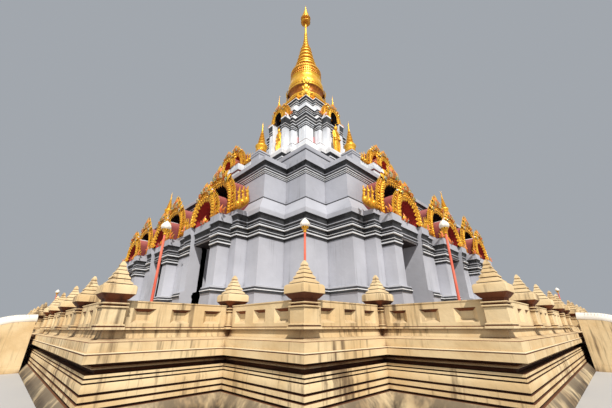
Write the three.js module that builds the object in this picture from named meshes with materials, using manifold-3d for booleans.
// A redented stupa on a walled terrace, in millimetres, +Z up.
// The origin is the middle of the ground under it. The front faces -Y and the right side +X.
// All four sides are alike, so each side's pieces are made once and turned in quarters.
import * as THREE from "three";
import { mergeVertices } from "three/addons/utils/BufferGeometryUtils.js";
import Module from "manifold-3d";

const wasm = await Module();
wasm.setup();

const QUARTER = Math.PI / 2;
const SIDES = ["front", "right", "back", "left"];
const CORNERS = ["front_right", "back_right", "back_left", "front_left"];
const SEAT = 0.3; // gap between pieces that touch on the real building
const OVERCUT = 10; // how far a cutting piece runs past what it cuts

// Plans: half the side of a square, and the arms that cross it, as half width and reach.
const PLINTH = { square: 10500, arms: [[8620, 12380]] };
const LOWER = { square: 7250, arms: [[6230, 8270]] };
const UPPER = { square: 6970, arms: [[5950, 7990]] };
const THIRD = { square: 4450, arms: [[3600, 4760], [3260, 5050]] };
const SHRINE = { square: 2150, arms: [[1150, 2450]] };
const BLOCK_HALF = 6430;
const SHRINE_GAP = 50; // from the shrine's wall to the pocket behind a figure

// Heights above the ground.
const TERRACE = 1092;
const FRAME_TOP = 4470;
const LOWER_TOP = 4624;
const UPPER_TOP = 6793;
const BLOCK_TOP = 7920;
const THIRD_TOP = 9950;
const SHRINE_FLOOR = 11900;
const SHRINE_EAVES = 14100;
const BELL_SEAT = 17700;
const SPIRE_FOOT = 22500;
const UMBRELLA_FOOT = 28400;
const TIP = 31100;

// Moulded profiles, from the foot up: distance out from the plan, height.
const PLINTH_PROFILE = [
  [98, 0], [98, 50], [-45, 292], [-5, 350], [-5, 390], [-60, 440], [-20, 480], [-20, 520],
  [-120, 560], [-120, 640], [22, 709], [24, 824], [0, 948], [-141, TERRACE],
];
const LOWER_PROFILE = [
  [220, TERRACE], [110, 1950], [160, 2010], [160, 2110], [0, 2200],
  [0, 3640], [85, 3890], [30, 4040], [120, 4469], [120, LOWER_TOP],
];
const FRAME_PROFILE = [
  [200, TERRACE], [110, 1950], [160, 2010], [160, 2110], [0, 2200],
  [0, 3480], [85, 3720], [30, 3860], [120, 4220], [120, FRAME_TOP],
];
const UPPER_PROFILE = [
  [400, LOWER_TOP], [30, 5210], [0, 5260], [0, 6155], [80, 6290], [80, 6400],
  [40, 6450], [120, 6622], [120, UPPER_TOP],
];
const BLOCK_PROFILE = [[0, UPPER_TOP], [0, 7730], [40, 7760], [40, BLOCK_TOP]];
const THIRD_PROFILE = [[0, BLOCK_TOP], [0, 9300], [160, 9560], [160, 9760], [60, THIRD_TOP]];
const SHRINE_BASE_PROFILE = [
  [1350, THIRD_TOP], [1350, 10180], [650, 11000], [650, 11200], [330, 11700], [330, SHRINE_FLOOR],
];
const SHRINE_PROFILE = [[270, SHRINE_FLOOR], [270, 12400], [0, 12600], [0, SHRINE_EAVES]];
const TIER_PROFILE = [
  [0, SHRINE_EAVES], [90, 14620], [90, 14800], [-280, 15300], [-170, 15680], [-170, 15850],
  [-540, 16400], [-430, 16820], [-430, 17000], [-760, BELL_SEAT],
];

// Turned profiles, from the axis at the foot to the axis at the top: radius, height.
const BELL_PROFILE = [
  [0, BELL_SEAT], [1300, BELL_SEAT], [1520, 18350], [1515, 19200], [1470, 19870], [1305, 20600],
  [1300, 21500], [1085, 22100], [887, SPIRE_FOOT], [0, SPIRE_FOOT],
];
const SPIRE_PROFILE = [
  [0, SPIRE_FOOT], [860, SPIRE_FOOT], [687, 23300], [467, 24600], [277, 25200], [190, 25900],
  [137, 26800], [107, UMBRELLA_FOOT], [0, UMBRELLA_FOOT],
];
const UMBRELLA_PROFILE = [
  [0, UMBRELLA_FOOT], [484, UMBRELLA_FOOT], [484, 28520], [300, 28700], [490, 29000],
  [490, 29150], [60, 30600], [0, TIP],
];

// The bays that carry the niches, the pilasters and lintel round each niche, and its pocket.
const BAY = { half: 5600, plane: 8680 };
const NICHE_PITCH = 4040;
const FRAME = { half: 1200, pilaster: 235, plane: 9100, lintel: 8950 };
const NICHE = { half: 730, sill: 1250, top: 3960, back: 7450 };
// The stretch of the lower stage that is each side's own piece of wall.
const STRETCH = { half: 6600, inner: 7000, outer: 9700 };

// How the flank of an arch bends, as shares of its half width and of its rise.
const POINTED = { swell: 0.36, flank: [0.76, 0.48], shoulder: [0.55, 0.62] };
const ROUND = { swell: 0.5, flank: [0.8, 0.75], shoulder: [0.45, 0.93] };
// Gables: a front arch and a higher rear arch, each with a vault that runs back from it.
const NICHE_CANOPY = {
  front: { half: 1250, open: 670, foot: FRAME_TOP, spring: 4560, crown: 5380, apex: 6080, face: 9220 },
  rear: { half: 1460, open: 950, foot: LOWER_TOP, spring: 5000, crown: 6120, apex: 7030, face: 8790 },
  wall: { thick: 220, inset: 170, back: 7900 },
};
const PORCH = { half: 1150, plane: 6330, open: 520, depth: 700, sill: 8000, top: 9080, cap: 9330 };
const PORCH_SHOULDER = { half: 2000, plane: 5950 };
const PORCH_CANOPY = {
  front: { half: 920, open: 430, foot: PORCH.cap, spring: 9450, crown: 10000, apex: 10680, face: 6430 },
  rear: { half: 1290, open: 720, foot: PORCH.cap, spring: 9650, crown: 10500, apex: 11320, face: 6020 },
  wall: { thick: 180, inset: 120, back: 5000 },
};
// The curled ends beside the rear arches. Each neck of the serpent is [distance from the middle, tip].
const WING = { slim: 70, point: 150, hull: 240, thick: 200 };
const OUTER_NECKS = [[1710, 5430], [1950, 5380], [2200, 5280]];
const INNER_NECKS = [[1660, 5400], [1870, 5330]];
const PORCH_NECKS = [[1440, 10080], [1680, 9940], [1900, 9810]];
const PORTAL = { half: 860, plane: 2900, open: 480, sill: 11960, top: 14720, cap: 14800, back: 2300 };
const PORTAL_CANOPY = {
  front: { half: 880, open: 430, foot: PORTAL.cap, spring: 14900, crown: 15660, apex: 16450, face: 2920 },
  rear: { half: 880, open: 330, foot: 15300, spring: 15550, crown: 16250, apex: 16850, face: 2430 },
  wall: { thick: 150, inset: 60, back: 1500 },
};
const FINIAL = { radius: 80, foot: 16200, tip: 17280 };

// What stands on the terrace and round the stages.
const PARAPET = { thick: 150, top: 1471, line: -200 };
const POST = { shaft: 145, cap: 210, spacing: 1880, neck: 1476, tip: 2020 };
const STAIR = { half: 1060, cheek: 350, risers: 7, going: 300, nosing: 30, cheekTop: 1300, length: 2500 };
const PAVING = { thick: 60, rim: -400, clear: 230 };
const LAMP = { pole: 35, cup: 85, bulb: 88, neck: 2830, tip: 3060 };
const LAMP_SPOTS = [[9600, -9600], [7600, -11430], [11430, -7600]];
const SMALL_STUPA = { along: 4900, out: 7500, pedestal: 290, base: 7620, tip: 9290 };
const FIGURE = { out: 2740, foot: PORTAL.sill + SEAT, height: 2500, girth: 0.85 };
// The right side's figure is larger and stands before its portal, on a bracket.
const GREAT_FIGURE = { out: 2980, foot: 11650 + SEAT, height: 2900, girth: 1.25 };
const BRACKET = { half: 400, reach: 3280, foot: 11400, top: 11650 };

const COLOURS = {
  plaster: { color: 0xdcc094, roughness: 0.85, metalness: 0 },
  grey: { color: 0xaeb2bb, roughness: 0.8, metalness: 0 },
  white: { color: 0xe4e4e2, roughness: 0.75, metalness: 0 },
  gold: { color: 0xe8ae2c, roughness: 0.35, metalness: 0.7 },
  paving: { color: 0xb9a489, roughness: 0.9, metalness: 0 },
};

// A closed geometry as a solid that can be joined and cut.
function solid(geometry) {
  const bare = geometry.clone();
  bare.deleteAttribute("normal");
  bare.deleteAttribute("uv");
  const merged = mergeVertices(bare, 1e-3);
  const vertProperties = merged.attributes.position.array;
  const triVerts = new Uint32Array(merged.index.array);
  return new wasm.Manifold(new wasm.Mesh({ numProp: 3, vertProperties, triVerts }));
}

function geometryOf(made) {
  const mesh = made.getMesh();
  const points = new Float32Array(mesh.numVert * 3);
  for (let i = 0; i < mesh.numVert; i++) {
    const start = i * mesh.numProp;
    points.set(mesh.vertProperties.subarray(start, start + 3), i * 3);
  }
  return new THREE.BufferGeometry()
    .setAttribute("position", new THREE.BufferAttribute(points, 3))
    .setIndex(new THREE.BufferAttribute(new Uint32Array(mesh.triVerts), 1));
}

function join(solids) {
  return solids.reduce((whole, next) => whole.add(next));
}

function box(x0, x1, y0, y1, z0, z1) {
  const geometry = new THREE.BoxGeometry(x1 - x0, y1 - y0, z1 - z0);
  return solid(geometry.translate((x0 + x1) / 2, (y0 + y1) / 2, (z0 + z1) / 2));
}

// A shape drawn in x and z, pushed along y from y0 to y1.
function pushedAlongY(shape, y0, y1, curveSegments) {
  const options = { depth: y1 - y0, bevelEnabled: false, curveSegments };
  return new THREE.ExtrudeGeometry(shape, options).rotateX(QUARTER).translate(0, y1, 0);
}

function silhouette(half, profile) {
  const right = profile.map(([out, z]) => new THREE.Vector2(half + out, z));
  const left = profile.map(([out, z]) => new THREE.Vector2(-half - out, z)).reverse();
  return new THREE.Shape([...right, ...left]);
}

// The same profile with its two ends run on straight, so that they can be cut off level later.
function runOn(profile, by) {
  const [foot, head] = [profile[0], profile.at(-1)];
  return [[foot[0], foot[1] - by], ...profile, [head[0], head[1] + by]];
}

// A box with one profile mitred round its four faces: the overlap of two crossing lengths.
function rough(halfX, halfY, profile) {
  const reach = 2 * (halfX + halfY);
  const across = silhouette(halfX, runOn(profile, 100));
  const deep = silhouette(halfY, runOn(profile, 200));
  const alongY = solid(pushedAlongY(across, -reach, reach));
  return alongY.intersect(solid(pushedAlongY(deep, -reach, reach).rotateZ(QUARTER)));
}

function levelled(pieces, profile) {
  const reach = 2 * PLINTH.square;
  return join(pieces).intersect(box(-reach, reach, -reach, reach, profile[0][1], profile.at(-1)[1]));
}

function moulded(halfX, halfY, profile) {
  return levelled([rough(halfX, halfY, profile)], profile);
}

// A square plan with stepped corners, as a square and arms that cross it both ways.
function redented({ square, arms }, profile) {
  const crossing = arms.flatMap(([half, reach]) => [[half, reach], [reach, half]]);
  return levelled([[square, square], ...crossing].map(([x, y]) => rough(x, y, profile)), profile);
}

function reachOf({ arms }) {
  return arms.at(-1)[1];
}

function grown(profile, by) {
  return profile.map(([out, z]) => [out + by, z]);
}

function turned(profile, sides) {
  const points = profile.map(([radius, z]) => new THREE.Vector2(radius, z));
  return solid(new THREE.LatheGeometry(points, sides).rotateX(QUARTER));
}

// The outline of an arch: straight feet, bent flanks and a straight tip.
function archShape({ half, foot, spring, apex }, bend) {
  const at = ([across, up]) => [half * across, spring + (apex - spring) * up];
  const [, swell] = at([1, bend.swell]);
  const [flankX, flankZ] = at(bend.flank);
  const [shoulderX, shoulderZ] = at(bend.shoulder);
  const shape = new THREE.Shape();
  shape.moveTo(-half, foot);
  shape.lineTo(-half, spring);
  shape.bezierCurveTo(-half, swell, -flankX, flankZ, -shoulderX, shoulderZ);
  shape.lineTo(0, apex);
  shape.lineTo(shoulderX, shoulderZ);
  shape.bezierCurveTo(flankX, flankZ, half, swell, half, spring);
  shape.lineTo(half, foot);
  return shape;
}

function arch(outline, y0, y1, bend = POINTED) {
  const coarse = 2;
  return solid(pushedAlongY(archShape(outline, bend), y0, y1, coarse));
}

// One arch wall with the vault behind it, and the hollow that runs through both.
function gable({ half, open, foot, spring, crown, apex, face }, { thick, inset }, back) {
  const threshold = 60;
  const wall = arch({ half, foot, spring, apex }, -face, -face + thick);
  const low = { half: half - inset, foot, spring, apex: apex - 2 * inset };
  const vault = arch(low, -face + thick, -back);
  const inside = { half: open, foot: foot + threshold, spring, apex: crown };
  const hollow = arch(inside, -face - OVERCUT, -back - inset, ROUND);
  return { body: wall.add(vault), hollow };
}

// The curled end on the right of an arch: a low hull with the upright necks of a serpent.
function wing({ open, half, foot, face }, necks) {
  const { slim, point, hull, thick } = WING;
  const [end] = necks.at(-1);
  const start = (open + half) / 2;
  const shape = new THREE.Shape();
  shape.moveTo(start, foot);
  shape.lineTo(end - slim, foot);
  shape.lineTo(end + slim, foot + hull);
  [...necks].reverse().forEach(([x, tip]) => {
    shape.lineTo(x + slim, foot + hull);
    shape.lineTo(x + slim, tip - point);
    shape.lineTo(x, tip);
    shape.lineTo(x - slim, tip - point);
    shape.lineTo(x - slim, foot + hull);
  });
  shape.lineTo(start, foot + hull);
  return solid(pushedAlongY(shape, -face, -face + thick, 1));
}

function canopy({ front, rear, wall }) {
  const near = gable(front, wall, rear.face - wall.thick);
  const far = gable(rear, wall, wall.back);
  return far.body.subtract(far.hollow).add(near.body).subtract(near.hollow);
}

function plinth() {
  return redented(PLINTH, PLINTH_PROFILE);
}

function lampPost([x, y]) {
  const { pole, cup, bulb, neck, tip } = LAMP;
  const profile = [
    [0, TERRACE], [pole, TERRACE], [pole, neck - 40], [cup, neck + 20], [bulb, neck + 90], [0, tip],
  ];
  return turned(profile, 6).translate([x, y, 0]);
}

// The paving of one corner of the terrace, with the three lamp posts that stand on it.
function terrace() {
  const { thick, rim, clear } = PAVING;
  const foot = [[clear, TERRACE - OVERCUT], [clear, TERRACE + thick + OVERCUT]];
  const frames = [-NICHE_PITCH, 0, NICHE_PITCH].flatMap((along) => [
    moulded(FRAME.half, FRAME.plane, foot).translate([along, 0, 0]),
    moulded(FRAME.plane, FRAME.half, foot).translate([0, along, 0]),
  ]);
  const bays = [moulded(BAY.half, BAY.plane, foot), moulded(BAY.plane, BAY.half, foot)];
  const reach = 2 * PLINTH.square;
  const quarter = box(SEAT, reach, -reach, -SEAT, 0, TERRACE + thick + OVERCUT);
  const slab = redented(PLINTH, [[rim, TERRACE], [rim, TERRACE + thick]]).intersect(quarter);
  const tower = join([redented(LOWER, foot), ...bays, ...frames]);
  return join([slab.subtract(tower), ...LAMP_SPOTS.map(lampPost)]);
}

function parapetPost() {
  const { shaft, cap, neck, tip } = POST;
  const profile = [
    [0, TERRACE], [shaft, TERRACE], [shaft, neck], [cap, neck + 95], [cap, neck + 205], [0, tip],
  ];
  const diagonal = profile.map(([half, z]) => [half * Math.SQRT2, z]);
  return turned(diagonal, 4).rotate([0, 0, 45]);
}

// The parapet round one corner, from stair to stair, with its posts.
function parapet() {
  const { thick, top, line } = PARAPET;
  const [[armHalf, armReach]] = PLINTH.arms;
  const [near, inner, far] = [armHalf + line, PLINTH.square + line, armReach + line];
  const start = STAIR.half + STAIR.cheek + POST.shaft + SEAT;
  const bends = [[near, -far], [near, -inner], [inner, -inner], [inner, -near], [far, -near]];
  const route = [[start, -far], ...bends, [far, -start]];
  const half = thick / 2;
  const walls = bends.concat([[far, -start]]).map(([x, y], i) => {
    const [u, v] = route[i];
    const [x0, x1] = [Math.min(x, u) - half, Math.max(x, u) + half];
    const [y0, y1] = [Math.min(y, v) - half, Math.max(y, v) + half];
    return box(x0, x1, y0, y1, TERRACE, top);
  });
  const between = [1, 2, 3].map((k) => near - k * POST.spacing);
  const along = [...between, start].flatMap((at) => [[at, -far], [far, -at]]);
  const one = parapetPost();
  return join([...walls, ...[...bends, ...along].map(([x, y]) => one.translate([x, y, 0]))]);
}

// The serpent that lies along a cheek wall, with its hood raised at the foot.
function serpent(face) {
  const { cheekTop, length } = STAIR;
  const girth = 150;
  const head = -face - length + 40;
  const route = [
    [-face - OVERCUT, cheekTop + 90], [-face - 500, cheekTop + 20], [-face - 1200, 960],
    [-face - 1900, 700], [head + 160, 700], [head, 1000],
  ];
  const path = new THREE.CatmullRomCurve3(route.map(([y, z]) => new THREE.Vector3(0, y, z)));
  const section = new THREE.Shape().absarc(0, 0, girth, 0, 2 * Math.PI);
  const options = { steps: 8, curveSegments: 3, bevelEnabled: false, extrudePath: path };
  const body = solid(new THREE.ExtrudeGeometry(section, options));
  const hood = { half: 330, foot: 900, spring: 1250, apex: 1900 };
  const thick = 180;
  return body.add(arch(hood, head - thick / 2, head + thick / 2));
}

// One flight between its two cheek walls.
function stair() {
  const { half, cheek, risers, going, nosing, cheekTop, length } = STAIR;
  const face = reachOf(PLINTH) + PLINTH_PROFILE[0][0] + SEAT;
  const rise = TERRACE / risers;
  const steps = new THREE.Shape();
  steps.moveTo(-face, 0);
  steps.lineTo(-face, TERRACE);
  for (let i = 0; i < risers; i++) {
    const edge = -face - i * going - nosing;
    steps.lineTo(edge, TERRACE - i * rise);
    steps.lineTo(edge, TERRACE - (i + 1) * rise);
  }
  const side = new THREE.Shape();
  side.moveTo(-face, 0);
  side.lineTo(-face, cheekTop);
  side.bezierCurveTo(-face - 900, cheekTop - 60, -face - 1200, 620, -face - length, 560);
  side.lineTo(-face - length, 0);
  const flight = solid(pushedAlongY(steps, -half, half, 1).rotateZ(QUARTER));
  const wall = solid(pushedAlongY(side, -cheek / 2, cheek / 2, 5).rotateZ(QUARTER)).add(serpent(face));
  const middle = half + cheek / 2;
  return join([flight, wall.translate([-middle, 0, 0]), wall.translate([middle, 0, 0])]);
}

// The whole lower stage without its niches; it is then shared out between five pieces.
function lowerStage() {
  const { square, arms } = LOWER;
  return redented({ square, arms: [...arms, [BAY.half, BAY.plane]] }, LOWER_PROFILE);
}

// A lintel carried by two pilasters that stand a little proud of it.
function nicheFrame() {
  const { half, pilaster, plane, lintel } = FRAME;
  const post = moulded(pilaster, plane, FRAME_PROFILE);
  const middle = half - pilaster;
  const beam = moulded(half, lintel, FRAME_PROFILE);
  return join([beam, post.translate([-middle, 0, 0]), post.translate([middle, 0, 0])]);
}

// The stretch of wall on the front, with its three framed niches.
function nicheWall(stage) {
  const { half, inner, outer } = STRETCH;
  const cut = box(-half, half, -outer, -inner, 0, LOWER_TOP + OVERCUT);
  const frame = nicheFrame().intersect(cut);
  const pocket = box(-NICHE.half, NICHE.half, -outer, -NICHE.back, NICHE.sill, NICHE.top);
  const middles = [-NICHE_PITCH, 0, NICHE_PITCH];
  const framed = join([stage.intersect(cut), ...middles.map((x) => frame.translate([x, 0, 0]))]);
  return middles.reduce((wall, x) => wall.subtract(pocket.translate([x, 0, 0])), framed);
}

function lowerCore(stage) {
  const half = STRETCH.half + SEAT;
  const inner = STRETCH.inner - SEAT;
  const cut = box(-half, half, -STRETCH.outer, -inner, 0, LOWER_TOP + OVERCUT);
  return SIDES.reduce((core, _, k) => core.subtract(cut.rotate([0, 0, 90 * k])), stage);
}

// A canopy seated on its frame, against the top of the bay and the foot of the upper stage.
function nicheCanopy(leftNecks, rightNecks) {
  const { half, plane } = BAY;
  const lip = LOWER_PROFILE.at(-1)[0] + SEAT;
  const stage = redented(UPPER, grown(UPPER_PROFILE, SEAT));
  const bay = box(-half, half, -plane - lip, -STRETCH.inner, FRAME_TOP, LOWER_TOP);
  const left = wing(NICHE_CANOPY.rear, leftNecks).mirror([1, 0, 0]);
  const right = wing(NICHE_CANOPY.rear, rightNecks);
  return join([canopy(NICHE_CANOPY), left, right]).subtract(stage).subtract(bay);
}

function upperStage() {
  return redented(UPPER, UPPER_PROFILE);
}

// A small gilded stupa on its white pedestal.
function smallStupa() {
  const { pedestal, base, tip } = SMALL_STUPA;
  const profile = [
    [0, base], [250, base], [250, base + 90], [220, base + 300], [180, base + 430],
    [120, base + 520], [0, tip],
  ];
  return moulded(pedestal, pedestal, [[0, UPPER_TOP], [0, base]]).add(turned(profile, 6));
}

// The roof slab and square block over the upper stage, with the eight small stupas round it.
function middleBlock() {
  const { along, out } = SMALL_STUPA;
  const slab = redented(UPPER, [[60, UPPER_TOP], [60, UPPER_TOP + 60]]);
  const block = moulded(BLOCK_HALF, BLOCK_HALF, BLOCK_PROFILE);
  const one = smallStupa();
  const pair = one.translate([along, -out, 0]).add(one.translate([-along, -out, 0]));
  return join([slab, block, ...SIDES.map((_, k) => pair.rotate([0, 0, 90 * k]))]);
}

function thirdStage() {
  return redented(THIRD, THIRD_PROFILE);
}

// The blind doorway in the middle of each side of the third stage, under its own gables.
function porch() {
  const { half, plane, open, depth, sill, top, cap } = PORCH;
  const rim = 60;
  const profile = [[0, BLOCK_TOP], [0, cap - 160], [rim, cap - 110], [rim, cap]];
  const back = reachOf(THIRD) + SEAT;
  const reach = plane + 2 * rim;
  const shoulder = moulded(PORCH_SHOULDER.half, PORCH_SHOULDER.plane, profile);
  const wide = PORCH_SHOULDER.half + rim;
  const room = box(-wide, wide, -reach, -back, BLOCK_TOP, cap);
  const pocket = box(-open, open, -reach, depth - plane, sill, top);
  const body = moulded(half, plane, profile).add(shoulder).intersect(room).subtract(pocket);
  const stage = redented(THIRD, grown(THIRD_PROFILE, SEAT));
  const shrineFoot = redented(SHRINE, grown(SHRINE_BASE_PROFILE, SEAT));
  const right = wing(PORCH_CANOPY.rear, PORCH_NECKS);
  const whole = join([body, canopy(PORCH_CANOPY), right, right.mirror([1, 0, 0])]);
  return whole.subtract(stage).subtract(shrineFoot);
}

// The sloping foot of the shrine, with a ledge under each portal and the right side's bracket.
function shrineBase() {
  const { half, plane, open } = PORTAL;
  const { reach, foot, top } = BRACKET;
  const rim = 90;
  const inner = reachOf(SHRINE) + 110;
  const turnRight = [0, 0, 90 * SIDES.indexOf("right")];
  const ledge = box(-half - rim, half + rim, -plane - rim, -inner, THIRD_TOP + 300, SHRINE_FLOOR);
  const slope = redented(SHRINE, SHRINE_BASE_PROFILE);
  const base = join([slope, ...SIDES.map((_, k) => ledge.rotate([0, 0, 90 * k]))]);
  const bracket = box(-BRACKET.half, BRACKET.half, -reach, -inner, foot, top).rotate(turnRight);
  const room = box(-open, open, -reach, -inner, top, SHRINE_FLOOR + OVERCUT).rotate(turnRight);
  return base.add(bracket).subtract(room);
}

// The shrine's walls, with their foot cut away behind each standing figure.
function shrineWalls(profile) {
  const { open, plane } = PORTAL;
  const wall = reachOf(SHRINE) + SHRINE_GAP;
  const notch = box(-open, open, -plane - OVERCUT, -wall, SHRINE_FLOOR - OVERCUT, SHRINE_EAVES - OVERCUT);
  const walls = redented(SHRINE, profile);
  return SIDES.reduce((body, _, k) => body.subtract(notch.rotate([0, 0, 90 * k])), walls);
}

// The open frame round a standing figure, with two gables over it.
function portal(sill) {
  const { half, plane, open, top, cap, back } = PORTAL;
  const rim = 90;
  const foot = SHRINE_FLOOR;
  const profile = [
    [60, foot], [60, foot + 200], [0, foot + 300], [0, cap - 500], [rim, cap - 160], [rim, cap],
  ];
  const reach = plane + 2 * rim;
  const room = box(-half - rim, half + rim, -reach, -back, foot, cap);
  const wall = reachOf(SHRINE) + SHRINE_GAP;
  const pocket = box(-open, open, -reach, -wall, sill, top);
  const body = moulded(half, plane, profile).intersect(room).subtract(pocket);
  const spike = [[0, FINIAL.foot], [FINIAL.radius, FINIAL.foot], [0, FINIAL.tip]];
  const finial = turned(spike, 6).translate([0, -PORTAL_CANOPY.front.face + FINIAL.radius, 0]);
  const stage = shrineWalls(grown(SHRINE_PROFILE, SEAT));
  const tiers = redented(SHRINE, grown(TIER_PROFILE, SEAT));
  return join([body, canopy(PORTAL_CANOPY), finial]).subtract(stage).subtract(tiers);
}

// A standing robed figure, plain and upright, with its hands drawn in.
function figure({ out, foot, height, girth }) {
  const depth = 0.7 * girth;
  const outline = [
    [0, 0], [260, 0], [260, 0.05], [200, 0.07], [185, 0.45], [215, 0.75],
    [70, 0.82], [105, 0.88], [0, 1],
  ];
  const profile = outline.map(([radius, share]) => [radius, share * height]);
  return turned(profile, 8).scale([girth, depth, 1]).translate([0, -out, foot]);
}

function roofTiers() {
  return redented(SHRINE, TIER_PROFILE);
}

const part = new THREE.Group();

function add(name, made, look, turn = 0) {
  const holder = new THREE.Group();
  holder.rotation.z = turn;
  const mesh = new THREE.Mesh(geometryOf(made), new THREE.MeshStandardMaterial(COLOURS[look]));
  mesh.name = name;
  holder.add(mesh);
  part.add(holder);
}

// One piece a side. Where the right side differs, its own shape is given as the last value.
function addEachSide(suffix, made, look, madeRight = made) {
  SIDES.forEach((side, k) => {
    const shape = side === "right" ? madeRight : made;
    add(side + "_" + suffix, shape, look, k * QUARTER);
  });
}

function addEachCorner(prefix, made, look) {
  CORNERS.forEach((corner, k) => add(prefix + "_" + corner, made, look, k * QUARTER));
}

const stage = lowerStage();
const leftCanopy = nicheCanopy(OUTER_NECKS, INNER_NECKS);
const rightCanopy = nicheCanopy(INNER_NECKS, OUTER_NECKS);
add("plinth", plinth(), "plaster");
addEachCorner("terrace", terrace(), "paving");
addEachCorner("parapet", parapet(), "plaster");
addEachSide("stair", stair(), "plaster");
add("lower_core", lowerCore(stage), "grey");
addEachSide("niche_wall", nicheWall(stage), "grey");
addEachSide("canopy_left", leftCanopy.translate([-NICHE_PITCH, 0, 0]), "gold");
addEachSide("canopy_middle", nicheCanopy(INNER_NECKS, INNER_NECKS), "gold");
addEachSide("canopy_right", rightCanopy.translate([NICHE_PITCH, 0, 0]), "gold");
add("upper_stage", upperStage(), "grey");
add("middle_block", middleBlock(), "white");
add("third_stage", thirdStage(), "white");
addEachSide("porch", porch(), "gold");
add("shrine_base", shrineBase(), "white");
add("shrine_body", shrineWalls(SHRINE_PROFILE), "white");
addEachSide("portal", portal(PORTAL.sill), "white", portal(SHRINE_FLOOR - OVERCUT));
addEachSide("figure", figure(FIGURE), "gold", figure(GREAT_FIGURE));
add("roof_tiers", roofTiers(), "white");
add("bell", turned(BELL_PROFILE, 20), "gold");
add("ringed_spire", turned(SPIRE_PROFILE, 16), "gold");
add("umbrella", turned(UMBRELLA_PROFILE, 12), "gold");

export default part;
